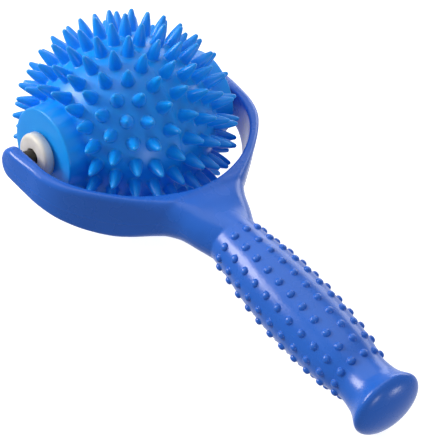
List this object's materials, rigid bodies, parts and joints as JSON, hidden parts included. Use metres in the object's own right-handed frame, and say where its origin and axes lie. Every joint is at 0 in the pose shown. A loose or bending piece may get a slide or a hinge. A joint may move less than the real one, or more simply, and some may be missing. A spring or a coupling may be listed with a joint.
{
  "type": "spiky massage ball roller",
  "caption": "Hand massager: a hollow spiky ball that spins on a steel axle between the arms of a fork, on a studded round grip.",
  "frame": {"origin": "middle of the axle, halfway between the fork's arms", "axes": "+X along the handle from the axle to the knob, +Y along the axle to the far arm, +Z square to the fork's plane, to the side that the picture shows from above"},
  "size_m": [0.221, 0.1096, 0.0917],
  "materials": {
    "handle_blue": "satin gloss moulded plastic, royal blue",
    "axle_dark_steel": "dark oiled steel rod",
    "ball_azure": "glossy soft vinyl, azure",
    "bush_cream": "satin cream plastic"
  },
  "bodies": {
    "handle": {"fork_handle": "handle_blue", "axle_rod": "axle_dark_steel"},
    "ball": {"ball_shell": "ball_azure", "near_bush": "bush_cream", "far_bush": "bush_cream"}
  },
  "joints": [
    {"name": "ball_spin", "type": "hinge", "parent": "handle", "child": "ball", "pos_m": [0, 0, 0], "axis": [0, 1, 0], "continuous": true}
  ]
}
